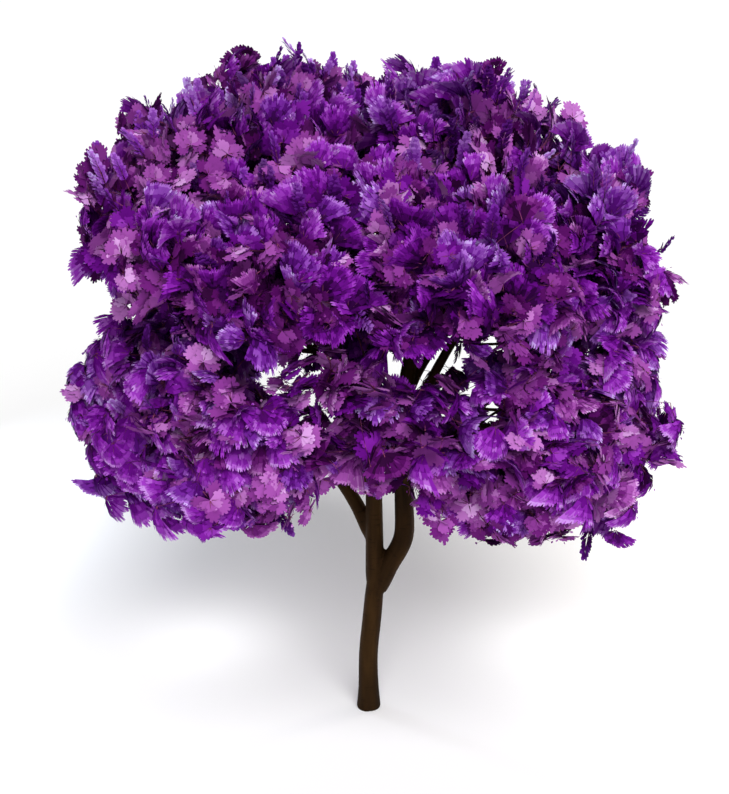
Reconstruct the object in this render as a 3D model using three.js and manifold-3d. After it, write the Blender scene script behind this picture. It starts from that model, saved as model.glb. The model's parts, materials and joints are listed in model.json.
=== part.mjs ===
// A jacaranda in full bloom: one trunk, its main boughs and its masses of blossom, each a mesh of its own.
// Millimetres, +Z up. The origin is the middle of the flat cut under the trunk, at ground level.
// +X is the side of the elbowed bough, -Y the side where the crown arches open over the fork.
import * as THREE from "three";
import { mergeVertices } from "three/addons/utils/BufferGeometryUtils.js";
import Module from "manifold-3d";

// ---- Driving dimensions -------------------------------------------------------------------------

const GAP = 0.3; // left between two pieces that touch
const WELD = 0.001; // corners nearer than this are one corner

// The trunk, from the flat cut at the ground to the fork.
const FORK_HEIGHT = 1430;
const TRUNK_RADIUS = 101; // over the flare
const FORK_RADIUS = 98;
const FLARE_RADIUS = 126; // at the ground
const FLARE_HEIGHT = 150; // over which the flare dies away
const FLARE_LOBES = 5; // root buttresses, seen as soft ridges in the flare
const LOBE_DEPTH = 0.05; // of the radius
const TRUNK_SIDES = 12;
const TRUNK_STEPS = 6;

// The boughs, each a bent, tapered cylinder.
const BOUGH_SIDES = 7;
const BOUGH_STEP = 400; // length of a step along a bough
const LEAST_STEPS = 4;

// The crown: a ring of low masses, a ring of high ones and a cap.
const LOW_RING = 1980; // from the trunk's axis to a mass's middle
const HIGH_RING = 1720;
const MASS_DETAIL = 3; // how often each edge of the icosahedron is split
const LUMPS = 7; // swellings on each mass
const LUMP_HEIGHT = 0.17; // of the mass's radius
const LUMP_WIDTH = 0.5; // radians
const FLAT_BELOW = 0.82; // the underside keeps this share of its depth
const SEED_STRIDE = 7919; // sets the streams of neighbouring seeds apart

const BARK = { color: 0x33261a, roughness: 0.82, metalness: 0 };
const VIOLET = { color: 0x6a2492, roughness: 0.62, metalness: 0 };
const MAUVE = { color: 0x8a4a9c, roughness: 0.6, metalness: 0 };

// ---- Solids -------------------------------------------------------------------------------------

const wasm = await Module();
wasm.setup();

// A closed geometry as a solid that can be cut.
function solidOf(geometry) {
  const bare = geometry.clone();
  bare.deleteAttribute("normal");
  bare.deleteAttribute("uv");
  const merged = mergeVertices(bare, WELD);
  return new wasm.Manifold(
    new wasm.Mesh({
      numProp: 3,
      vertProperties: new Float32Array(merged.attributes.position.array),
      triVerts: new Uint32Array(merged.index.array),
    }),
  );
}

// The solid's faces as a geometry that three.js draws.
function geometryOf(solid) {
  const mesh = solid.getMesh();
  const geometry = new THREE.BufferGeometry();
  geometry.setAttribute("position", new THREE.BufferAttribute(mesh.vertProperties, 3));
  geometry.setIndex(new THREE.BufferAttribute(mesh.triVerts, 1));
  geometry.computeVertexNormals();
  return geometry;
}

// Cuts the tools out of a solid. A limb or mass that falls apart keeps its largest body.
function cutBy(solid, tools) {
  let rest = solid;
  for (const tool of tools) rest = rest.subtract(tool);
  const bodies = rest.decompose();
  return bodies.reduce((a, b) => (a.volume() > b.volume() ? a : b));
}

// A repeatable stream of numbers from 0 to 1.
function stream(seed) {
  let state = seed >>> 0;
  return () => {
    state = (Math.imul(state, 1664525) + 1013904223) >>> 0;
    return state / 4294967296;
  };
}

// ---- Limbs --------------------------------------------------------------------------------------

function smoothPath(points) {
  return new THREE.CatmullRomCurve3(points.map((p) => new THREE.Vector3(...p)), false, "centripetal");
}

// A limb along a path, whose radius at each share t of its length is radiusAt(t, angle).
// Both of its ends reach further by endGap.
function limbGeometry(path, sides, steps, radiusAt, endGap) {
  const frames = path.computeFrenetFrames(steps);
  const geometry = new THREE.CylinderGeometry(1, 1, 1, sides, steps);
  const place = geometry.attributes.position;
  for (let i = 0; i < place.count; i++) {
    const step = Math.round((0.5 - place.getY(i)) * steps);
    const across = new THREE.Vector2(place.getX(i), place.getZ(i));
    const radius = across.length() * radiusAt(step / steps, across.angle());
    const direction = across.length() > 0 ? across.normalize() : across;
    const point = path.getPointAt(step / steps);
    if (step === 0) point.addScaledVector(frames.tangents[0], -endGap);
    if (step === steps) point.addScaledVector(frames.tangents[steps], endGap);
    point.addScaledVector(frames.normals[step], direction.x * radius);
    point.addScaledVector(frames.binormals[step], direction.y * radius);
    place.setXYZ(i, point.x, point.y, point.z);
  }
  return geometry;
}

function boughSolid({ points, from, to }, grow = 0) {
  const path = smoothPath(points);
  const steps = Math.max(LEAST_STEPS, Math.round(path.getLength() / BOUGH_STEP));
  return solidOf(limbGeometry(path, BOUGH_SIDES, steps, (t) => from + (to - from) * t + grow, grow));
}

// The trunk leans a little towards +X on its way to the fork, and spreads at its foot.
const trunkPath = [
  [0, 0, 0],
  [0, 0, 260],
  [-8, 0, 640],
  [30, 4, 1010],
  [62, 6, FORK_HEIGHT],
];

function trunkSolid(grow = 0) {
  const radiusAt = (t, angle) => {
    const flare = Math.exp((-t * FORK_HEIGHT) / FLARE_HEIGHT);
    const round = TRUNK_RADIUS + (FORK_RADIUS - TRUNK_RADIUS) * t + (FLARE_RADIUS - TRUNK_RADIUS) * flare;
    return round * (1 + LOBE_DEPTH * flare * Math.cos(FLARE_LOBES * angle)) + grow;
  };
  return solidOf(limbGeometry(smoothPath(trunkPath), TRUNK_SIDES, TRUNK_STEPS, radiusAt, grow));
}

// Each bough starts inside the limb that carries it and ends inside the mass that it feeds,
// and both ends are cut off there.
const boughs = [
  { name: "leader_bough", from: 101, to: 58,
    points: [[56, 6, 1330], [60, 6, 1600], [58, 6, 2000], [50, 10, 2500], [20, 40, 3300], [-170, 70, 4200],
      [-460, 110, 5100]] },
  { name: "elbow_bough_foot", from: 102, to: 106,
    points: [[58, 4, 1410], [116, -4, 1545], [225, -20, 1735], [345, -30, 1910], [372, -34, 2030]] },
  { name: "elbow_bough_rise", from: 106, to: 56,
    points: [[371, -34, 2005], [374, -36, 2150], [356, -30, 2440], [342, -10, 2950], [344, 0, 3420],
      [384, 4, 3800], [500, 30, 4400], [640, 80, 5200]] },
  { name: "left_bough", from: 84, to: 46,
    points: [[56, 12, 1960], [-10, 70, 2130], [-165, 140, 2365], [-340, 190, 2635], [-760, 220, 3050],
      [-1300, 160, 3300]] },
  { name: "right_bough", from: 60, to: 38,
    points: [[350, 0, 3020], [500, 10, 3460], [690, 20, 3860], [900, 30, 4240], [1300, 40, 4800]] },
  { name: "low_right_bough", from: 56, to: 36,
    points: [[352, -20, 2800], [600, -40, 3120], [980, -60, 3280], [1500, -100, 3330]] },
  { name: "front_left_bough", from: 54, to: 34,
    points: [[44, 10, 2480], [-160, -260, 2980], [-560, -720, 3420], [-1100, -1150, 3620]] },
  { name: "front_right_bough", from: 54, to: 34,
    points: [[350, -20, 2640], [520, -330, 3000], [860, -780, 3320], [1250, -1200, 3480]] },
  { name: "back_left_bough", from: 56, to: 34,
    points: [[30, 30, 2900], [-180, 360, 3360], [-620, 860, 3760], [-1100, 1300, 3900]] },
  { name: "back_right_bough", from: 54, to: 34,
    points: [[344, 0, 3380], [520, 380, 3720], [900, 860, 3980], [1300, 1280, 4100]] },
  { name: "upper_left_bough", from: 56, to: 36,
    points: [[14, 40, 3400], [-260, 60, 4000], [-700, 80, 4600], [-1300, 100, 5300]] },
  { name: "upper_front_bough", from: 48, to: 32,
    points: [[-90, 56, 3860], [-100, -240, 4380], [-300, -620, 4860], [-700, -1200, 5300]] },
];

// ---- Masses of blossom --------------------------------------------------------------------------

// A closed, uneven ball: lumps stand out of it, and its underside is shallower than its top.
function unevenBall({ at, size, seed }, grow = 0) {
  const next = stream(seed * SEED_STRIDE);
  const lumps = Array.from({ length: LUMPS }, () => {
    const height = 2 * next() - 1;
    const turn = 2 * Math.PI * next();
    const flat = Math.sqrt(1 - height * height);
    const way = new THREE.Vector3(flat * Math.cos(turn), flat * Math.sin(turn), height);
    return { way, high: LUMP_HEIGHT * (0.5 + next()) };
  });
  const geometry = new THREE.IcosahedronGeometry(1, MASS_DETAIL);
  const place = geometry.attributes.position;
  const point = new THREE.Vector3();
  for (let i = 0; i < place.count; i++) {
    point.fromBufferAttribute(place, i).normalize();
    let radius = 1 - LUMP_HEIGHT / 2;
    for (const lump of lumps) radius += lump.high * Math.exp(-((point.angleTo(lump.way) / LUMP_WIDTH) ** 2));
    if (point.z < 0) point.z *= FLAT_BELOW;
    place.setXYZ(
      i,
      at[0] + point.x * (size[0] * radius + grow),
      at[1] + point.y * (size[1] * radius + grow),
      at[2] + point.z * (size[2] * radius + grow),
    );
  }
  return solidOf(geometry);
}

// A mass stands at an angle round the trunk's axis, anticlockwise from +X seen from above.
// reach is its distance from that axis, and size is half its width in X, in Y and in Z.
const masses = [
  { name: "cap_left", angle: 166, reach: 900, height: 5880, size: [1120, 1120, 1060] },
  { name: "cap_right", angle: 12, reach: 800, height: 5800, size: [1120, 1120, 1050] },
  { name: "high_right", angle: 0, reach: HIGH_RING - 40, height: 4960, size: [1230, 1080, 1120] },
  { name: "high_back_right", angle: 58, reach: HIGH_RING, height: 5200, size: [1150, 1150, 1060] },
  { name: "high_back_left", angle: 124, reach: HIGH_RING + 60, height: 5620, size: [1200, 1150, 1080] },
  { name: "high_left", angle: 182, reach: HIGH_RING + 20, height: 5440, size: [1200, 1080, 1230] },
  { name: "high_front_left", angle: 240, reach: HIGH_RING - 60, height: 5330, size: [1180, 1120, 1080] },
  { name: "high_front_right", angle: 297, reach: HIGH_RING - 60, height: 5300, size: [1180, 1120, 1080] },
  { name: "low_right", angle: -6, reach: LOW_RING - 20, height: 3190, size: [1180, 1100, 1280] },
  { name: "low_back_right", angle: 42, reach: LOW_RING - 60, height: 3960, size: [1050, 1050, 960] },
  { name: "low_back", angle: 88, reach: LOW_RING - 60, height: 4300, size: [1050, 960, 820] },
  { name: "low_back_left", angle: 136, reach: LOW_RING - 60, height: 3860, size: [1050, 1050, 960] },
  { name: "low_left", angle: 182, reach: LOW_RING - 90, height: 3290, size: [1180, 1100, 1240] },
  { name: "low_front_left", angle: 228, reach: LOW_RING - 100, height: 3560, size: [1080, 1000, 980] },
  { name: "low_front", angle: 268, reach: LOW_RING - 660, height: 3740, size: [780, 680, 720] },
  { name: "low_front_right", angle: 308, reach: LOW_RING - 100, height: 3400, size: [1060, 1000, 1020] },
].map((mass, i) => {
  const turn = THREE.MathUtils.degToRad(mass.angle);
  const at = [mass.reach * Math.cos(turn), mass.reach * Math.sin(turn), mass.height];
  return { ...mass, at, seed: i + 1 };
});

// ---- The tree -----------------------------------------------------------------------------------

const tree = new THREE.Group();

function add(name, solid, look) {
  const mesh = new THREE.Mesh(geometryOf(solid), new THREE.MeshStandardMaterial(look));
  mesh.name = name;
  tree.add(mesh);
}

// A mass gives way to the ones before it, so neighbours meet face to face.
masses.forEach((mass, i) => {
  const neighbours = masses.slice(0, i).map((other) => unevenBall(other, GAP));
  add(mass.name, cutBy(unevenBall(mass), neighbours), i % 2 ? MAUVE : VIOLET);
});

const clearOfMasses = masses.map((mass) => unevenBall(mass, GAP));
const clearOfLimbs = [trunkSolid(GAP)];
add("trunk", trunkSolid(), BARK);
for (const bough of boughs) {
  add(bough.name, cutBy(boughSolid(bough), [...clearOfLimbs, ...clearOfMasses]), BARK);
  clearOfLimbs.push(boughSolid(bough, GAP));
}

export default tree;
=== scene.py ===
# %% [markdown]
# # A jacaranda in full bloom
# The tree is a dark, slim trunk that forks low, a dozen boughs, and a wide crown that is all blossom. The
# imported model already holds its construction: one solid for the trunk, one for each bough, and one closed,
# uneven solid for each mass of the crown. Here those solids are the mould. The limbs get round bark, and
# each mass is exchanged for branches, twigs and thousands of sprays of petals that fill the same room.

# %% Load the tree's frame
import json
import math

import bpy
import numpy as np
from mathutils import Matrix, Vector, noise
from mathutils.bvhtree import BVHTree
from mathutils.kdtree import KDTree

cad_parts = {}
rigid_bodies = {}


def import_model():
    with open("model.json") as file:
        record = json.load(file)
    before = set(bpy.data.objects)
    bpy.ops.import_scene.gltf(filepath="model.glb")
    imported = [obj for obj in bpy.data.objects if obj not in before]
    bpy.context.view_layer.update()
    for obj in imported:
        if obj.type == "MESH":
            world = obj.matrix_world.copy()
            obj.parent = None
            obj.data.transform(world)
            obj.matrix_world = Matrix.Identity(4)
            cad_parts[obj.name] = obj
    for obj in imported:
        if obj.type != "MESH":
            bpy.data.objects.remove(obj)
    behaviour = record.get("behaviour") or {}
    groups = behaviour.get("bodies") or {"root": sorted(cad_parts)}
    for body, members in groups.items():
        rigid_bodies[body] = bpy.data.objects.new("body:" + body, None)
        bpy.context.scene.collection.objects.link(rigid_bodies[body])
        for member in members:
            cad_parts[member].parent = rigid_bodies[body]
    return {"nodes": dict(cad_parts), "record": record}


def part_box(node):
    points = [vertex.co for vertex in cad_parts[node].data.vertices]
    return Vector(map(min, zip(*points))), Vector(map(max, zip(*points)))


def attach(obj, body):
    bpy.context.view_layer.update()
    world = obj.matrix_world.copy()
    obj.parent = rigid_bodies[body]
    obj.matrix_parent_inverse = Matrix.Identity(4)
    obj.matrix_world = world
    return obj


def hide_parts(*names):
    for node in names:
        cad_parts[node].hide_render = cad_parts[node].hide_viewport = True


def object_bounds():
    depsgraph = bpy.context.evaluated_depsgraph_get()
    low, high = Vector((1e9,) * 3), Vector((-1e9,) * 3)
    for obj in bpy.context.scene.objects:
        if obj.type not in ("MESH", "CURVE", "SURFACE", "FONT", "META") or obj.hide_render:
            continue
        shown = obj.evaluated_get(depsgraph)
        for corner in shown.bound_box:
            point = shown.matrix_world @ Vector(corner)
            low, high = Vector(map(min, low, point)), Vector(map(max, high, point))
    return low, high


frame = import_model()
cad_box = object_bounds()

slot_of = {part["node"]: part["material_slot"] for part in frame["record"]["subparts"]}
limb_names = sorted(name for name, slot in slot_of.items() if slot == "bark")
mass_names = sorted(name for name, slot in slot_of.items() if slot != "bark")
tree_height = cad_box[1][2]
print(f"{len(limb_names)} limbs, {len(mass_names)} masses, {tree_height:.2f} m high")

# %% [markdown]
# ## Camera
# A tree this size is looked at from well back and a little above, with a long lens, so that its crown
# keeps its true proportions. The camera comes first because the crown has openings that go right through,
# and an opening is only an opening along the line that one looks in.

# %% Set the camera
LOOK_DOWN = math.radians(22)
CAMERA_DISTANCE = 22.0  # metres
LENS = 99.75  # mm, on a 36 mm sensor
FURTHEST_SEEN = 1000  # metres, past the floor's far edge
AIM = Vector((-0.045, 0.0, 0.5115 * tree_height))  # just over the middle of the tree


def put(name, data):
    """A new object in the scene, with the given data."""
    made = bpy.data.objects.new(name, data)
    bpy.context.scene.collection.objects.link(made)
    return made


camera = put("camera", bpy.data.cameras.new("camera"))
camera.data.lens = LENS
camera.data.clip_end = FURTHEST_SEEN
eye = AIM + CAMERA_DISTANCE * Vector((0, -math.cos(LOOK_DOWN), math.sin(LOOK_DOWN)))
camera.location = eye
camera.rotation_euler = (math.pi / 2 - LOOK_DOWN, 0, 0)
bpy.context.scene.camera = camera
print("camera at", [round(c, 2) for c in eye])

# %% [markdown]
# ## Studio
# A plain white floor runs out into a white world, so that only the shadow under the crown says where the
# ground is. A part of the light is the world's, as under an overcast sky, and the rest is a sun's. A sun
# lights a floor evenly however far it runs, which no lamp at a place does. It stands in front of the tree,
# at half height, so the crown's shadow falls behind the trunk, and it is as wide as a softbox, so the
# shadow has no edge. Seen directly the world is white, like the floor, though it shines with less than
# that. Two lamps behind the tree, one cool and one warm, draw a thin light edge along each side of the
# trunk, and two small ones close to the ground keep the shadow from going dark behind it.

# %% Helpers for nodes and lamps


def add_node(tree, kind, output=0, inputs=None, **settings):
    """Adds a node and returns one of its outputs. The settings are its properties and its inputs, and
    inputs holds those that go by a number or a longer name. An input takes a value or a socket to join."""
    made = tree.nodes.new(kind)
    inputs = dict(inputs or {})
    for name, value in settings.items():
        if hasattr(made, name):
            setattr(made, name, value)
        else:
            inputs[name.replace("_", " ")] = value
    for key, value in inputs.items():
        if isinstance(value, bpy.types.NodeSocket):
            tree.links.new(value, made.inputs[key])
        else:
            made.inputs[key].default_value = value
    return made.outputs[output]


def add_lamp(name, kind, power, way):
    """A lamp that shines along a way."""
    lamp = put(name, bpy.data.lights.new(name, kind))
    lamp.data.energy = power
    lamp.rotation_euler = way.to_track_quat("-Z", "Y").to_euler()
    return lamp


# %% Set the light
WORLD_LIGHT = 0.37
SUN_POWER = 3.25  # with the world's light, just enough for a white floor
SUN_WIDTH = math.radians(40)
TO_SUN = Vector((0.16, -0.69, 0.71))
WHITE = (1.0, 1.0, 1.0)
LAMPS = {  # place, the point they shine at, width in metres, watts and colour
    "cool_edge": ((-7, 5.5, 1.4), (0, 0, 1.6), 1.0, 240, (0.80, 0.88, 1.0)),
    "warm_edge": ((7, 4.5, 1.4), (0, 0, 1.6), 1.6, 170, (1.0, 0.88, 0.74)),
    "left_pool": ((-1.8, 1.5, 1.2), (-1.8, 1.5, 0), 1.0, 7.5, WHITE),
    "right_pool": ((1.8, 1.4, 1.2), (1.8, 1.4, 0), 1.0, 6.0, WHITE),
}

world = bpy.data.worlds.new("studio")
world.use_nodes = True
bpy.context.scene.world = world
bpy.context.scene.view_settings.view_transform = "Standard"
background = world.node_tree.nodes["Background"]
background.inputs["Color"].default_value = (*WHITE, 1)
seen = add_node(world.node_tree, "ShaderNodeLightPath", "Is Camera Ray")
strength = add_node(world.node_tree, "ShaderNodeMapRange", Value=seen, To_Min=WORLD_LIGHT, To_Max=1.0)
world.node_tree.links.new(strength, background.inputs["Strength"])

add_lamp("sun", "SUN", SUN_POWER, -TO_SUN).data.angle = SUN_WIDTH
for name, (place, aim, width, watts, colour) in LAMPS.items():
    lamp = add_lamp(name, "AREA", watts, Vector(aim) - Vector(place))
    lamp.location = place
    lamp.visible_camera = False
    lamp.data.shape = "DISK"
    lamp.data.size = width
    lamp.data.color = colour
print("a sun and", len(LAMPS), "lamps")

# %% Lay the floor
FLOOR_RADIUS = 400.0
FLOOR_CORNERS = 96
WHITE_FLOOR = (0.95, 0.95, 0.95, 1)


def new_finish(name, roughness, specular, colour=None):
    """A new material and its shader. The colour is left out where nodes give it."""
    material = bpy.data.materials.new(name)
    material.use_nodes = True
    shader = material.node_tree.nodes["Principled BSDF"]
    if colour:
        shader.inputs["Base Color"].default_value = colour
    shader.inputs["Roughness"].default_value = roughness
    shader.inputs["Specular IOR Level"].default_value = specular
    return material, shader


turns = [2 * math.pi * i / FLOOR_CORNERS for i in range(FLOOR_CORNERS)]
floor_rim = [(FLOOR_RADIUS * math.cos(a), FLOOR_RADIUS * math.sin(a), 0) for a in turns]
floor = put("floor", bpy.data.meshes.new("floor"))
floor.data.from_pydata(floor_rim, [], [range(FLOOR_CORNERS)])
floor.data.materials.append(new_finish("white_floor", 0.95, 0.0, WHITE_FLOOR)[0])
print("floor", 2 * FLOOR_RADIUS, "m across")

# %% [markdown]
# ## Colours
# Jacaranda blossom isn't one purple. Petals are deep plum where they sit in shade at a spray's heart, then
# violet, and pale lilac at the rim. Young spikes are bluer, and sprays that have stood in the sun for some
# days turn a flat, pinkish mauve. So the colours form three ladders. Each spray is dealt the rung that it
# starts on, and each petal climbs from there, rung by rung, from its foot to its rim. Every rung is a plain
# colour on its own material.

# %% Make the ladders of petal colours
VIOLET_LADDER = {
    "petal_night": "290036",
    "petal_plum": "440359",
    "petal_grape": "5d097a",
    "petal_violet": "751a94",
    "petal_bright": "8c32ab",
    "petal_lilac": "a356bf",
    "petal_pale": "b882d1",
    "petal_lavender": "b69ce8",
}
IRIS_LADDER = {
    "petal_ink": "350549",
    "petal_indigo": "4e0b6d",
    "petal_iris": "68208c",
    "petal_bluebell": "813fa4",
    "petal_wisteria": "9c60bd",
    "petal_mist": "ba97dc",
}
MAUVE_LADDER = {
    "petal_dusk": "2c0331",
    "petal_wine": "4b0854",
    "petal_mauve": "641a6d",
    "petal_dust": "7c3185",
    "petal_rose": "95489d",
    "petal_heather": "af6ab6",
    "petal_pink": "cb95d3",
}
PETAL_ROUGHNESS, PETAL_GLOSS = 0.75, 0.04


def linear(hex_colour):
    """The shader's linear colour for a colour written as a designer does."""
    shares = [int(hex_colour[i : i + 2], 16) / 255 for i in (0, 2, 4)]
    return [s / 12.92 if s <= 0.04045 else ((s + 0.055) / 1.055) ** 2.4 for s in shares] + [1.0]


rungs = {**VIOLET_LADDER, **IRIS_LADDER, **MAUVE_LADDER}
IRIS_START = len(VIOLET_LADDER)
MAUVE_START = IRIS_START + len(IRIS_LADDER)
petal_tones = [
    new_finish(name, PETAL_ROUGHNESS, PETAL_GLOSS, linear(colour))[0] for name, colour in rungs.items()
]
print(len(petal_tones), "petal colours")

# %% [markdown]
# ## Bark
# Young jacaranda bark is thin, dark brown and nearly smooth. Close to, short wrinkles run across the limb,
# with a few long, shallow cracks along it. Noise squeezed along a limb gives the wrinkles, and as only its
# highest values are used they are few and short. Noise stretched along the limb gives the cracks. Both
# are laid in the limb's own measure: metres across it and along it, which each bark mesh carries as an
# attribute, so the pattern turns with the bough. The trunk's colour gets darker towards the ground.

# %% Make the bark
DARK_BARK, MIDDLE_BARK, PALE_BARK = "160b02", "2c1b08", "402b12"
WRINKLES, CRACKS, BLOTCHES = (9, 9, 46), (16, 16, 2.0), (3.5, 3.5, 1.4)  # repeats in a metre, along at last
# Below this height the bark's colour gets darker towards the ground.
DARKENING_HEIGHT = 1.3  # metres
A_COLOUR, B_COLOUR, MIXED_COLOUR = 6, 7, 2  # a Mix node's own numbers for its colour sockets


def colour_ramp(tree, share, stops):
    """A ramp through colours at their places."""
    colours = add_node(tree, "ShaderNodeValToRGB", Fac=share)
    elements = colours.node.color_ramp.elements
    for place, hex_colour in stops[1:-1]:
        elements.new(place).color = linear(hex_colour)
    for end in (0, -1):
        elements[end].position = stops[end][0]
        elements[end].color = linear(stops[end][1])
    return colours


def darken(tree, share, colour):
    """A colour with a share of dark bark over it."""
    mixed = {A_COLOUR: colour, B_COLOUR: linear(DARK_BARK)}
    return add_node(tree, "ShaderNodeMix", MIXED_COLOUR, mixed, data_type="RGBA", Factor=share)


def bark_finish():
    material, shader = new_finish("bark", 0.7, 0.06)
    tree = material.node_tree
    place = add_node(tree, "ShaderNodeAttribute", "Vector", attribute_name="limb_place")
    patterns = []
    for repeats in (WRINKLES, CRACKS, BLOTCHES):
        squeezed = add_node(tree, "ShaderNodeMapping", Vector=place, Scale=repeats)
        patterns.append(add_node(tree, "ShaderNodeTexNoise", Vector=squeezed, Scale=1.0, Detail=2.0))
    wrinkles, cracks, blotches = patterns

    tone = add_node(tree, "ShaderNodeMix", Factor=0.6, A=cracks, B=blotches)
    browns = colour_ramp(tree, tone, ((0.30, DARK_BARK), (0.5, MIDDLE_BARK), (0.72, PALE_BARK)))
    few = add_node(tree, "ShaderNodeMapRange", Value=wrinkles, From_Min=0.58, From_Max=0.76, To_Max=0.7)
    where = add_node(tree, "ShaderNodeTexCoord", "Object")
    height = add_node(tree, "ShaderNodeSeparateXYZ", "Z", Vector=where)
    # The colour gets darker towards the ground, below a height of its own.
    low_darkening = add_node(tree, "ShaderNodeMapRange", Value=height, From_Max=DARKENING_HEIGHT, To_Min=0.6, To_Max=0.0)
    colour = darken(tree, low_darkening, darken(tree, few, browns))
    tree.links.new(colour, shader.inputs["Base Color"])

    relief = add_node(tree, "ShaderNodeMath", inputs={0: cracks, 1: few}, operation="SUBTRACT")
    bump = add_node(tree, "ShaderNodeBump", Height=relief, Strength=0.35, Distance=0.004)
    tree.links.new(bump, shader.inputs["Normal"])
    return material


bark = bark_finish()
print(bark.name, "has", len(bark.node_tree.nodes), "nodes")

# %% Make the young twigs' skin
DARK_SHOOT, PALE_SHOOT = "3a0a20", "94446e"


def twig_finish():
    """Young shoots are a dark reddish brown, with patches of pink skin."""
    material, shader = new_finish("young_twig", 0.7, 0.1)
    tree = material.node_tree
    where = add_node(tree, "ShaderNodeTexCoord", "Object")
    patches = add_node(tree, "ShaderNodeTexNoise", Vector=where, Scale=9.0, Detail=2.0)
    reds = colour_ramp(tree, patches, ((0.42, DARK_SHOOT), (0.64, PALE_SHOOT)))
    tree.links.new(reds, shader.inputs["Base Color"])
    return material


young_twig = twig_finish()
print(young_twig.name, "has", len(young_twig.node_tree.nodes), "nodes")

# %% [markdown]
# ## Limbs
# The limbs of the frame are true in place, length and taper, but they are many-sided. Smoothing such a
# tube thins it. Instead a plane is moved along each limb, always square to it, and the middle and girth of
# every cut are written down. That gives the limb's own centre line, on which round wood can be built.

# %% Cut a limb across
CUT_REACH = 0.3  # metres: the plane's cut through anything further off isn't the limb's
ROUND_OF_POLYGON = 6.2  # a many-sided section's way round, over its half width


def read_triples(items, key, kind=float):
    """Three numbers for each of a mesh's vertices or triangles."""
    flat = np.empty(3 * len(items), kind)
    items.foreach_get(key, flat)
    return flat.reshape(-1, 3)


def triangles_of(name):
    """A frame solid's triangles, as an array of three corners each."""
    mesh = frame["nodes"][name].data
    mesh.calc_loop_triangles()
    return read_triples(mesh.vertices, "co")[read_triples(mesh.loop_triangles, "vertices", int)]


def cut(triangles, point, along, reach=CUT_REACH):
    """The middle and the radius of a limb's section through point, square to along."""
    heights = (triangles - point) @ along
    crossed = np.ptp(np.sign(heights), axis=1) > 0
    segments = []
    for corners, height in zip(triangles[crossed], heights[crossed]):
        ends = []
        for a, b in ((0, 1), (1, 2), (2, 0)):
            if height[a] * height[b] < 0:
                share = height[a] / (height[a] - height[b])
                ends.append(corners[a] + share * (corners[b] - corners[a]))
        if len(ends) == 2 and np.linalg.norm((ends[0] + ends[1]) / 2 - point) < reach:
            segments.append(ends)
    if len(segments) < 3:
        return None, 0.0
    segments = np.array(segments)
    lengths = np.linalg.norm(segments[:, 1] - segments[:, 0], axis=1)
    middle = (segments.mean(axis=1) * lengths[:, None]).sum(axis=0) / lengths.sum()
    return middle, lengths.sum() / ROUND_OF_POLYGON


print("the trunk has", len(triangles_of("trunk")), "triangles")

# %% Walk along each limb
STEP_ALONG_LIMB = 0.06  # metres between two cuts
LIMB_ENDS = 0.2  # of a limb's corners, at either end, that show which way it runs
SAME_LIMB = (0.86, 1.3)  # a cut's girth, in those of the last one: past this, the walk has left the limb
ONE_LIMB = {"elbow_bough": ("elbow_bough_foot", "elbow_bough_rise")}  # split only at its bend


def walk(name):
    """Middles and radii from a limb's foot to its far end, found from its middle outwards."""
    triangles = triangles_of(name)
    cloud = triangles.reshape(-1, 3)
    low = cloud[cloud[:, 2] < np.quantile(cloud[:, 2], LIMB_ENDS)].mean(axis=0)
    high = cloud[cloud[:, 2] > np.quantile(cloud[:, 2], 1 - LIMB_ENDS)].mean(axis=0)
    along = (high - low) / np.linalg.norm(high - low)
    start, radius = cut(triangles, (low + high) / 2, along, reach=1.0)
    start, radius = cut(triangles, start, along)
    halves = []
    for way in (-1, 1):
        point, heading, girth = start, way * along, radius
        half = []
        while True:
            middle, wide = cut(triangles, point + STEP_ALONG_LIMB * heading, heading)
            if middle is None or not SAME_LIMB[0] * girth < wide < SAME_LIMB[1] * girth:
                break
            heading = middle - point
            heading /= np.linalg.norm(heading)
            point, girth = middle, wide
            half.append((point, girth))
        halves.append(half)
    steps = halves[0][::-1] + [(start, radius)] + halves[1]
    return np.array([p for p, _ in steps]), np.array([r for _, r in steps])


limbs = {name: walk(name) for name in limb_names}
for whole, pieces in ONE_LIMB.items():
    lines = [limbs.pop(piece) for piece in pieces]
    limbs[whole] = (np.concatenate([p for p, _ in lines]), np.concatenate([r for _, r in lines]))
for name, (middles, radii) in limbs.items():
    print(f"{name}: {len(middles)} cuts, {2000 * radii[0]:.0f} to {2000 * radii[-1]:.0f} mm thick")

# %% [markdown]
# ## Places for the sprays
# A jacaranda carries its blossom at the ends of its twigs, so the crown is a thick shell of sprays with
# branches behind it. The sprays are dealt over the masses' outer faces in three layers: a close one at the
# outline and two thinner ones further in, which keep the crown from looking hollow. Points that keep
# their distance from each other cover a surface more evenly than plain chance does. A face that lies
# against a neighbouring mass is inside the crown and gets none.

# %% Find the faces that look out into the air
TOUCHING = 0.01  # metres: masses nearer than this lie against each other
OFF_FACE = 0.00005  # metres: a ray starts this far off its own face
CROWN_HEART = np.array((0.0, 0.0, 0.53 * tree_height))

everything = np.concatenate([triangles_of(name) for name in mass_names])
crown_shell = BVHTree.FromPolygons(
    everything.reshape(-1, 3).tolist(), np.arange(3 * len(everything)).reshape(-1, 3).tolist()
)


def unit(vectors):
    return vectors / np.maximum(np.linalg.norm(vectors, axis=-1, keepdims=True), 1e-9)


def open_faces(name):
    """A mass's triangles with nothing just outside them, and their normals."""
    triangles = triangles_of(name)
    normals = unit(np.cross(triangles[:, 1] - triangles[:, 0], triangles[:, 2] - triangles[:, 0]))
    middles = triangles.mean(axis=1) + OFF_FACE * normals
    ways = zip(middles.tolist(), normals.tolist())
    free = [crown_shell.ray_cast(middle, normal, TOUCHING)[0] is None for middle, normal in ways]
    return triangles[free], normals[free]


skins = {name: open_faces(name) for name in mass_names}
print(sum(len(t) for t, _ in skins.values()), "open faces of", len(everything))

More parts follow.
